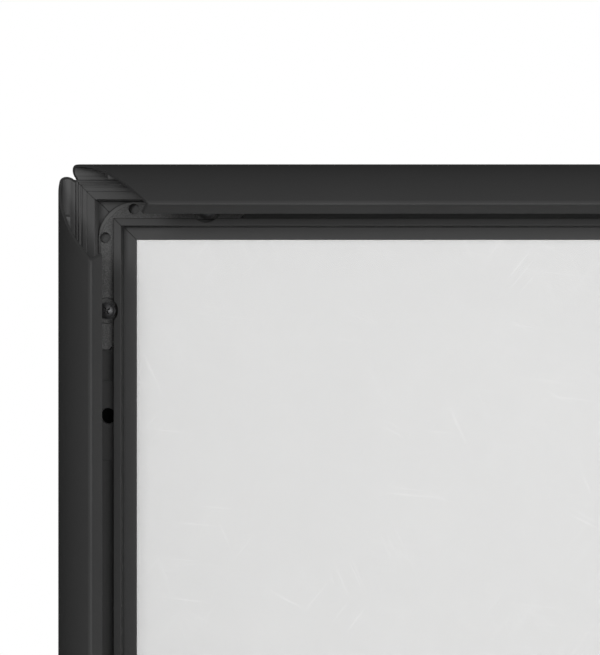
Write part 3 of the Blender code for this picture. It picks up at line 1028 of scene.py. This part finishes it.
# %% Profile of a screw
def screw_profile():
    """(radius, depth below the top of the head) of the turned screw."""
    dome_height = head_height - head_rim
    flat_reach = head_radius - rim_round
    dome_radius = (flat_reach**2 + dome_height**2) / (2 * dome_height)
    dome_end = math.asin(flat_reach / dome_radius)
    turns = [dome_end * step / dome_steps for step in range(dome_steps + 1)]
    profile = [(dome_radius * math.sin(turn), dome_radius * (1 - math.cos(turn))) for turn in turns]
    for step in range(1, round_steps + 1):
        turn = quarter_turn * step / round_steps
        out = rim_round * math.sin(turn)
        down = rim_round * (1 - math.cos(turn))
        profile.append((flat_reach + out, dome_height + down))
    under_head = [(head_radius, head_height), (shank_radius, head_height)]
    return profile + under_head + [(shank_radius, screw_length), (0, screw_length)]


# %% Turned screw
def ring_points(radius, depth):
    """The points of one ring about Y: only one where the radius is nothing."""
    count = turned_steps if radius else 1
    turns = [2 * math.pi * step / turned_steps for step in range(count)]
    return [(radius * math.cos(turn), depth, radius * math.sin(turn)) for turn in turns]


def turned(name, profile):
    """A closed body of revolution about Y, with its top at the origin."""
    body = bmesh.new()
    rings = [[body.verts.new(point) for point in ring_points(*facts)] for facts in profile]
    for ring, following in zip(rings, rings[1:]):
        for step in range(turned_steps):
            after = (step + 1) % turned_steps
            corners = [
                ring[step % len(ring)],
                ring[after % len(ring)],
                following[after % len(following)],
                following[step % len(following)],
            ]
            body.faces.new(list(dict.fromkeys(corners)))
    bmesh.ops.recalc_face_normals(body, faces=body.faces)
    return add_object(name, finished_mesh(name, body))


# %% Cross recess
recess_depth = 0.0017
recess_reach = 0.0023
recess_half_width = 0.00045
floor_reach_share = 0.45
floor_width_share = 0.6


def cross_outline(reach, half_width, depth):
    """Twelve points of a cross at one depth."""
    points = []
    for quarter in range(4):
        spin = Matrix.Rotation(quarter * quarter_turn, 3, "Y")
        for across, up in ((reach, -half_width), (reach, half_width), (half_width, half_width)):
            points.append(spin @ Vector((across, depth, -up)))
    return points


def cross_cutter(name):
    """The recess: a cross that narrows from above the head to the recess's floor."""
    floor_reach = recess_reach * floor_reach_share
    floor_half_width = recess_half_width * floor_width_share
    body = bmesh.new()
    top = [body.verts.new(point) for point in cross_outline(recess_reach, recess_half_width, -recess_depth)]
    bottom = [body.verts.new(point) for point in cross_outline(floor_reach, floor_half_width, recess_depth)]
    body.faces.new(top)
    body.faces.new(reversed(bottom))
    for index, vertex in enumerate(top):
        after = (index + 1) % len(top)
        body.faces.new((vertex, bottom[index], bottom[after], top[after]))
    bmesh.ops.recalc_face_normals(body, faces=body.faces)
    return add_object(name, finished_mesh(name, body))


# %% Screw with its recess
def recessed_mesh():
    """The turned screw with the recess cut out, as one mesh for all screws."""
    blank = turned("screw_blank", screw_profile())
    cutter = cross_cutter("recess_cutter")
    cut = blank.modifiers.new("recess", "BOOLEAN")
    cut.object = cutter
    cut.solver = "EXACT"
    depsgraph = bpy.context.evaluated_depsgraph_get()
    mesh = bpy.data.meshes.new_from_object(blank.evaluated_get(depsgraph))
    for made in (blank, cutter):
        bpy.data.objects.remove(made)
    return mesh


shared_screw = recessed_mesh()
print("screw mesh:", len(shared_screw.vertices), "points,", len(shared_screw.polygons), "faces")

# %% Place the screws
screw_edge_round = 0.00006
screw_turn_step = math.radians(37)

screw_names = sorted(name for name in nodes if name.startswith("corner_screw_"))
for index, name in enumerate(screw_names):
    low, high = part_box(name)
    mesh = shared_screw.copy()
    mesh.materials.append(screw_finish)
    place = (middle_of(low, high, x_axis), low[y_axis], middle_of(low, high, z_axis))
    mesh.transform(Matrix.Rotation(index * screw_turn_step, 4, "Y"))
    mesh.transform(Matrix.Translation(place))
    screw = add_object(name.replace("corner", "recessed"), mesh)
    soften(screw, screw_edge_round)
    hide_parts(name)
    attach(screw, "base")
print("placed", len(screw_names), "screws")

# %% [markdown]
# ## The wall behind the screw holes
#
# The frame hangs by two screws through each upright rail. Through those holes one sees the wall, which
# lies in deep shade behind the frame. A whole wall could stand there, but it would hide the frame's back.
# So four small dark discs stand for it. They are part of the stage and not of the frame.

# %% Dark wall behind the screw holes
hole_inset = 0.1218
hole_across = 0.2291
disc_radius = 0.006
disc_edge_count = 48
disc_gap = 0.0005
disc_colour = (0.004, 0.004, 0.004, 1)

disc_paint = bpy.data.materials.new("shaded_wall")
disc_paint.use_nodes = True
disc_shader = disc_paint.node_tree.nodes["Principled BSDF"]
disc_shader.inputs["Base Color"].default_value = disc_colour
disc_shader.inputs["Specular IOR Level"].default_value = 0.0
rail_low, rail_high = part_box("base_rail_left")
hole_heights = (rail_low[z_axis] + hole_inset, rail_high[z_axis] - hole_inset)
for across in (-hole_across, hole_across):
    for height in hole_heights:
        disc_mesh = round_face("shaded_wall", disc_radius, disc_edge_count)
        disc_mesh.materials.append(disc_paint)
        disc = add_object("shaded_wall", disc_mesh)
        disc.location = (across, disc_gap, height)
        disc.rotation_euler = (quarter_turn, 0, 0)
print("discs at heights", [round(height, 4) for height in hole_heights])
